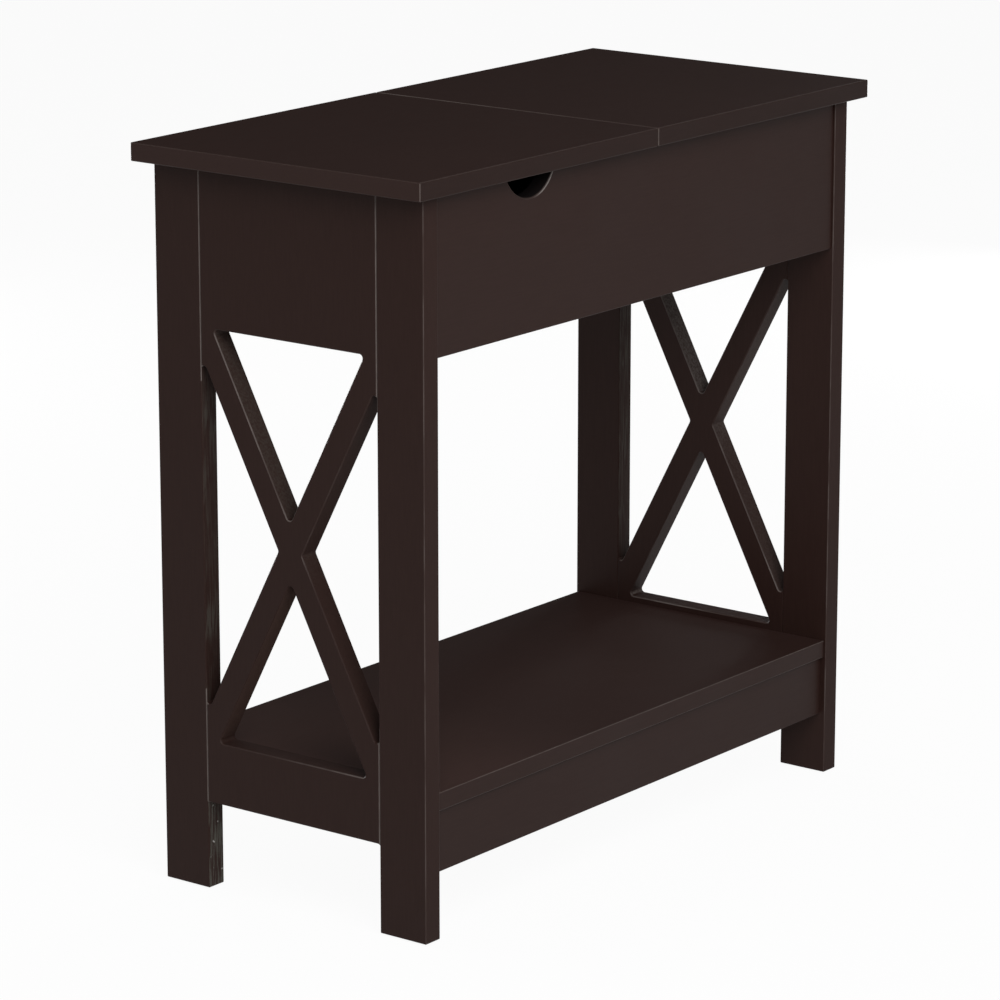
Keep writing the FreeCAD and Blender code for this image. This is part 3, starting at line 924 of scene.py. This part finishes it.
# On the end panels the pale cut colour is partly painted light, and the edge shares are painted highlights,
# set apart above and below the crossing.
PANEL_LACQUERS = {
    EndSide.LEFT: RoutedLacquer(
        "left_panel_lacquer",
        highlight_share=0.60,
        cut_share=0.9,
        underside_light_share=0.9,
        ledge_rear=0.3,
        low_highlight=0.04,
        low_cut_light=0.15,
    ),
    EndSide.RIGHT: RoutedLacquer(
        "right_panel_lacquer",
        # The pale cut colour on this panel is partly the cut's own colour and partly painted light on its
        # shaded arms.
        pale_cut_and_light=(0.110, 0.092, 0.084),
        highlight_share=0.70,
        cut_share=0.9,
        ledge_front=0.2,
        low_cut_light=0.22,
    ),
}
HINGE_BRONZE = Metal(
    "hinge_bronze",
    bright=(0.150, 0.118, 0.088),
    tarnish_and_light=(0.095, 0.072, 0.054),
    gloss_low=0.38,
    gloss_high=0.52,
)
SCREW_BRONZE = Metal(
    "screw_bronze",
    bright=(0.210, 0.170, 0.130),
    tarnish_and_light=(0.130, 0.102, 0.078),
    gloss_low=0.34,
    gloss_high=0.48,
)
CAM_ZINC = Metal(
    "cam_cast_zinc",
    bright=(0.55, 0.55, 0.55),
    tarnish_and_light=(0.40, 0.40, 0.40),
    gloss_low=0.38,
    gloss_high=0.55,
)
BOLT_ZINC = Metal("bolt_zinc_plate", bright=(0.62, 0.62, 0.63), tarnish_and_light=(0.48, 0.48, 0.47))
DOWEL_BEECH = BareBeech("dowel_beech")
GLIDE_NYLON = MouldedNylon("glide_nylon")


@dataclass
class Assembly:
    """A sub-assembly of the table."""

    title: str

    def dress(self, node: str, finish: Finish) -> None:
        """Give a solid its finish.

        Args:
            node: The solid's node name.
            finish: The finish to give it.
        """
        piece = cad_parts[node]
        piece.data.materials.clear()
        piece.data.materials.append(finish.material())
        LOG.info("%s: %s in %s", self.title, node, finish.name)

    def add_piece(
        self, name: str, work: bmesh.types.BMesh, finish: Finish, slot: str, body: str
    ) -> bpy.types.Object:
        """Make a new piece of a worked mesh.

        Args:
            name: The piece's name.
            work: The worked mesh, freed here.
            finish: The finish to give it.
            slot: The record's material slot, which is not used.
            body: The body that it moves with.

        Returns:
            The new piece.
        """
        bmesh.ops.recalc_face_normals(work, faces=work.faces)
        mesh = bpy.data.meshes.new(name)
        work.to_mesh(mesh)
        work.free()
        mesh.materials.append(finish.material())
        piece = bpy.data.objects.new(name, mesh)
        bpy.context.scene.collection.objects.link(piece)
        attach(piece, body)
        LOG.info("%s: %s in %s", self.title, name, finish.name)
        return piece

    def build(self) -> None:
        """Build and dress the pieces."""
        raise NotImplementedError


@dataclass(frozen=True)
class Pin:
    """The place of one round pin, bolt or screw."""

    low: Vector
    high: Vector

    @property
    def axis(self) -> int:
        """The index of its long axis."""
        size = self.high - self.low
        return max(range(3), key=lambda index: size[index])

    @property
    def middle(self) -> Vector:
        """The middle of its box."""
        return (self.low + self.high) / 2

    @property
    def radius(self) -> float:
        """Half its width."""
        size = self.high - self.low
        return min(size) / 2

    def spot(self, along: float, reach: float, turn: float) -> Vector:
        """Find a point around its axis.

        Args:
            along: The coordinate along the axis, in metres.
            reach: The distance from the axis, in metres.
            turn: The angle around the axis, in radians.

        Returns:
            The point.
        """
        first, second = (index for index in range(3) if index != self.axis)
        point = self.middle
        point[self.axis] = along
        point[first] += reach * math.cos(turn)
        point[second] += reach * math.sin(turn)
        return point


WELD = 0.002 * MM


def pins_of(node: str) -> list[Pin]:
    """Find each separate round piece of a node.

    Args:
        node: The node's name.

    Returns:
        The pieces, in a fixed order.
    """
    work = bmesh.new()
    work.from_mesh(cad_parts[node].data)
    bmesh.ops.remove_doubles(work, verts=work.verts, dist=WELD)
    seen = set()
    pins = []
    for first in work.verts:
        if first.index in seen:
            continue
        seen.add(first.index)
        island = [first]
        for vertex in island:
            for edge in vertex.link_edges:
                other = edge.other_vert(vertex)
                if other.index not in seen:
                    seen.add(other.index)
                    island.append(other)
        places = [vertex.co for vertex in island]
        low = Vector(min(place[index] for place in places) for index in range(3))
        high = Vector(max(place[index] for place in places) for index in range(3))
        pins.append(Pin(low, high))
    work.free()
    return sorted(pins, key=lambda pin: tuple(pin.low))


def skin_rings(work: bmesh.types.BMesh, rings: list[list[Vector]]) -> None:
    """Cover a row of rings with faces and close both ends.

    Args:
        work: The mesh being worked.
        rings: The rings of points, with the same count in each.
    """
    rows = [[work.verts.new(point) for point in ring] for ring in rings]
    count = len(rows[0])
    for near, far in zip(rows, rows[1:]):
        for step in range(count):
            after = (step + 1) % count
            work.faces.new((near[step], near[after], far[after], far[step]))
    work.faces.new(rows[0])
    work.faces.new(rows[-1])


@dataclass
class TopBoards(Assembly):
    """The lid and the fixed half of the top."""

    title: str = "top boards"

    def build(self) -> None:
        """Build and dress the pieces."""
        for node in ("lid", "fixed_top"):
            self.dress(node, TOP_LACQUER)


@dataclass
class EndFrame(Assembly):
    """Two legs with the X panel between them."""

    title: str = "end frame"
    side: EndSide = EndSide.LEFT

    def build(self) -> None:
        """Build and dress the pieces."""
        for place in ("front", "rear"):
            self.dress(f"leg_{place}_{self.side.value}", LEG_LACQUER)
        self.dress(f"{self.side.value}_end_panel", PANEL_LACQUERS[self.side])


@dataclass
class StorageBox(Assembly):
    """The aprons, floor and divider of the storage compartment."""

    title: str = "storage box"

    def build(self) -> None:
        """Build and dress the pieces."""
        self.dress("front_apron", NOTCH_LACQUER)
        for node in ("rear_apron", "centre_divider"):
            self.dress(node, APRON_LACQUER)
        self.dress("compartment_floor", FLOOR_LACQUER)


@dataclass
class ShelfUnit(Assembly):
    """The shelf and the rails under it."""

    title: str = "shelf"

    def build(self) -> None:
        """Build and dress the pieces."""
        self.dress("shelf", SHELF_LACQUER)
        for node in ("shelf_front_rail", "shelf_rear_rail"):
            self.dress(node, APRON_LACQUER)


@dataclass
class LidHinges(Assembly):
    """The two butt hinges with their pins and screws."""

    title: str = "lid hinges"

    def build(self) -> None:
        """Build and dress the pieces."""
        for side in EndSide:
            for part in ("hinge_fixed_leaf", "hinge_lid_leaf", "hinge_pin"):
                self.dress(f"{part}_{side.value}", HINGE_BRONZE)
        for node, body in (("hinge_lid_screws", "lid"), ("hinge_apron_screws", "frame")):
            self.dress(node, SCREW_BRONZE)
            self.cut_thread(node, body)

    def cut_thread(self, node: str, body: str) -> None:
        """Add the thread ribs of one row of screws.

        Args:
            node: The node of the screws.
            body: The body that they move with.
        """
        Threads(
            node=node,
            body=body,
            slot="screw_steel",
            core=1.5 * MM,
            rise=0.4 * MM,
            pitch=1.25 * MM,
            tip_gap=2.2 * MM,
            length=6.5 * MM,
            finish=SCREW_BRONZE,
        ).build()


@dataclass
class Dowels(Assembly):
    """Beech dowels with pressed flutes and bevelled ends."""

    title: str = "dowels"
    flutes: int = 16
    flute_depth: float = 0.25 * MM
    end_bevel: float = 0.8 * MM

    def build(self) -> None:
        """Build and dress the pieces."""
        for node in sorted(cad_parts):
            if node.endswith("_dowels"):
                work = bmesh.new()
                for pin in pins_of(node):
                    skin_rings(work, self.rings(pin))
                piece = self.add_piece(f"{node}_fluted", work, DOWEL_BEECH, "dowel_wood", "frame")
                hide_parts(node)

    def rings(self, pin: Pin) -> list[list[Vector]]:
        """Work out the rings of one dowel, each flute a point that is pressed in.

        Args:
            pin: The dowel's place.

        Returns:
            Four rings of points, from end to end.
        """
        low, high = pin.low[pin.axis], pin.high[pin.axis]
        heights = (low, low + self.end_bevel, high - self.end_bevel, high)
        sizes = (pin.radius - self.end_bevel, pin.radius, pin.radius, pin.radius - self.end_bevel)
        count = 3 * self.flutes
        rings = []
        for height, size in zip(heights, sizes):
            reaches = [size - (self.flute_depth if step % 3 == 0 else 0.0) for step in range(count)]
            turns = [2 * math.pi * step / count for step in range(count)]
            rings.append([pin.spot(height, reach, turn) for reach, turn in zip(reaches, turns)])
        return rings


@dataclass
class Threads(Assembly):
    """The thread ribs around one group of bolts or screws."""

    title: str = "threads"
    node: str = ""
    body: str = "frame"
    slot: str = "bolt_steel"
    core: float = 3.0 * MM
    rise: float = 0.45 * MM
    pitch: float = 1.75 * MM
    tip_gap: float = 0.7 * MM
    length: float = 9.2 * MM
    finish: Finish = BOLT_ZINC
    steps: int = 16
    half_share: float = 0.36
    sink: float = 0.1 * MM
    thin_end: float = 0.02 * MM

    def build(self) -> None:
        """Build and dress the pieces."""
        work = bmesh.new()
        for pin in pins_of(self.node):
            skin_rings(work, self.rings(pin))
        self.add_piece(f"{self.node}_threads", work, self.finish, self.slot, self.body)

    def inward(self, pin: Pin) -> float:
        """Tell which way the tip points: outwards in X, forwards in Y and up in Z."""
        return (math.copysign(1.0, pin.middle.x), -1.0, 1.0)[pin.axis]

    def rings(self, pin: Pin) -> list[list[Vector]]:
        """Work out the three-cornered sections of one rib, thin at both ends.

        Args:
            pin: The place of the bolt or screw.

        Returns:
            The sections, from the tip back.
        """
        way = self.inward(pin)
        tip = pin.high[pin.axis] if way > 0 else pin.low[pin.axis]
        count = int(self.length / self.pitch * self.steps)
        half = self.half_share * self.pitch
        root = self.core - self.sink
        sections = []
        for step in range(count + 1):
            along = tip - way * (self.tip_gap + half + self.pitch * step / self.steps)
            fade = min(1.0, step / self.steps, (count - step) / self.steps)
            turn = 2 * math.pi * step / self.steps
            crest = root + self.thin_end + (self.rise + self.sink - self.thin_end) * fade
            low = pin.spot(along - half, root, turn)
            high = pin.spot(along + half, root, turn)
            sections.append([low, pin.spot(along, crest, turn), high])
        return sections


@dataclass
class Fastenings(Assembly):
    """The cam locks and bolts inside the boards."""

    title: str = "fastenings"

    def build(self) -> None:
        """Build and dress the pieces."""
        for node in sorted(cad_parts):
            if node.endswith("_cam_locks"):
                self.dress(node, CAM_ZINC)
            if node.endswith("_cam_bolts"):
                self.dress(node, BOLT_ZINC)
                Threads(node=node).build()


@dataclass
class Feet(Assembly):
    """The nailed glides under the legs."""

    title: str = "feet"

    def build(self) -> None:
        """Build and dress the pieces."""
        self.dress("foot_glides", GLIDE_NYLON)


@dataclass(frozen=True)
class Lamp:
    """A soft square lamp: its place and side in metres, and its power in watts."""

    name: str
    spot: Triple
    size: float
    power: float


LAMPS = (
    Lamp("key_lamp", (-1.2, -1.7, 2.0), 2.0, 62.0),
    Lamp("back_lamp", (-0.8, 2.4, 1.6), 1.8, 15.0),
    Lamp("side_lamp", (2.5, 0.25, 2.15), 1.4, 8.0),
    Lamp("low_back_lamp", (0.7, 2.4, 0.30), 0.55, 20.0),
    Lamp("low_side_lamp", (2.5, 0.55, 0.30), 0.55, 20.0),
)


@dataclass
class Studio:
    """The floor, lamps, world and camera."""

    floor_half: float = 14.0
    floor_colour: Triple = (0.90, 0.90, 0.90)
    floor_glow: float = 0.95
    world_strength: float = 0.12
    world_glossy: float = 0.055
    lamp_target: Triple = (0.0, 0.0, 0.3)
    view_azimuth: float = -52.46
    view_elevation: float = 14.35
    view_distance: float = 3.8066
    view_target: Triple = (-0.0328, -0.0111, 0.2899)
    lens: float = 166.0
    sensor: float = 36.0
    view_end: float = 100.0

    def build(self) -> None:
        """Build the whole stage."""
        self.lay_floor()
        self.light_world()
        for lamp in LAMPS:
            self.hang_lamp(lamp)
        self.place_camera()

    def rays(self, bench: NodeBench) -> tuple[Socket, Socket]:
        """Tell the camera's rays, and those in reflections and through glass.

        Args:
            bench: The bench of the floor or the world.

        Returns:
            The two masks, 1 for such a ray.
        """
        path = bench.add("ShaderNodeLightPath").outputs
        mirror = bench.maths("MAXIMUM", path["Is Glossy Ray"], path["Is Transmission Ray"])
        return path["Is Camera Ray"], mirror

    def lay_floor(self) -> None:
        """Lay a pale floor that shows white to the camera and keeps a soft shadow."""
        half = self.floor_half
        mesh = bpy.data.meshes.new("studio_floor")
        corners = [(-half, -half, 0), (half, -half, 0), (half, half, 0), (-half, half, 0)]
        mesh.from_pydata(corners, [], [(0, 1, 2, 3)])
        floor = bpy.data.objects.new("studio_floor", mesh)
        bpy.context.scene.collection.objects.link(floor)
        paint = bpy.data.materials.new("studio_floor_paint")
        paint.use_nodes = True
        paint.node_tree.nodes.clear()
        bench = NodeBench(paint.node_tree)
        matt = bench.add("ShaderNodeBsdfDiffuse", self.floor_colour)
        glow = bench.add("ShaderNodeEmission")
        seen = bench.product(bench.maths("MAXIMUM", *self.rays(bench)), self.floor_glow)
        mix = bench.add("ShaderNodeMixShader", seen, matt.outputs[0], glow.outputs[0])
        bench.add("ShaderNodeOutputMaterial", mix.outputs[0])
        mesh.materials.append(paint)

    def light_world(self) -> None:
        """Light the world evenly, white to the camera and soft grey in reflections."""
        world = bpy.data.worlds.new("studio_world")
        world.use_nodes = True
        world.node_tree.nodes.clear()
        bench = NodeBench(world.node_tree)
        camera, mirror = self.rays(bench)
        plain = bench.spread(mirror, 0.0, 1.0, self.world_strength, self.world_glossy)
        strength = bench.maths("MAXIMUM", camera, plain)
        sky = bench.add("ShaderNodeBackground", (1.0, 1.0, 1.0), strength)
        bench.add("ShaderNodeOutputWorld", sky.outputs[0])
        bpy.context.scene.world = world

    def hang_lamp(self, lamp: Lamp) -> None:
        """Hang a lamp aimed at the middle of the table.

        Args:
            lamp: The lamp.
        """
        data = bpy.data.lights.new(lamp.name, "AREA")
        data.size = lamp.size
        data.energy = lamp.power
        hung = bpy.data.objects.new(lamp.name, data)
        hung.visible_camera = False
        hung.location = lamp.spot
        aim = Vector(self.lamp_target) - Vector(lamp.spot)
        hung.rotation_mode = "QUATERNION"
        hung.rotation_quaternion = aim.to_track_quat("-Z", "Y")
        bpy.context.scene.collection.objects.link(hung)

    def place_camera(self) -> None:
        """Place the camera at the photograph's viewing angle."""
        turn = math.radians(self.view_azimuth)
        rise = math.radians(self.view_elevation)
        back = Vector((math.sin(turn) * math.cos(rise), -math.cos(turn) * math.cos(rise), math.sin(rise)))
        data = bpy.data.cameras.new("photo_camera")
        data.lens = self.lens
        data.sensor_width = self.sensor
        data.clip_end = self.view_end
        camera = bpy.data.objects.new("photo_camera", data)
        camera.location = Vector(self.view_target) + back * self.view_distance
        camera.rotation_mode = "QUATERNION"
        camera.rotation_quaternion = (-back).to_track_quat("-Z", "Y")
        bpy.context.scene.collection.objects.link(camera)
        bpy.context.scene.camera = camera


def main() -> None:
    """Build every sub-assembly and the stage."""
    logging.basicConfig(level=logging.INFO, format="%(message)s")
    bpy.context.scene.view_settings.view_transform = "Standard"
    assemblies = [TopBoards()]
    assemblies += [EndFrame(side=side) for side in EndSide]
    assemblies += [StorageBox(), ShelfUnit(), LidHinges(), Dowels(), Fastenings(), Feet()]
    for assembly in assemblies:
        assembly.build()
    Studio().build()


if __name__ == "__main__":
    main()
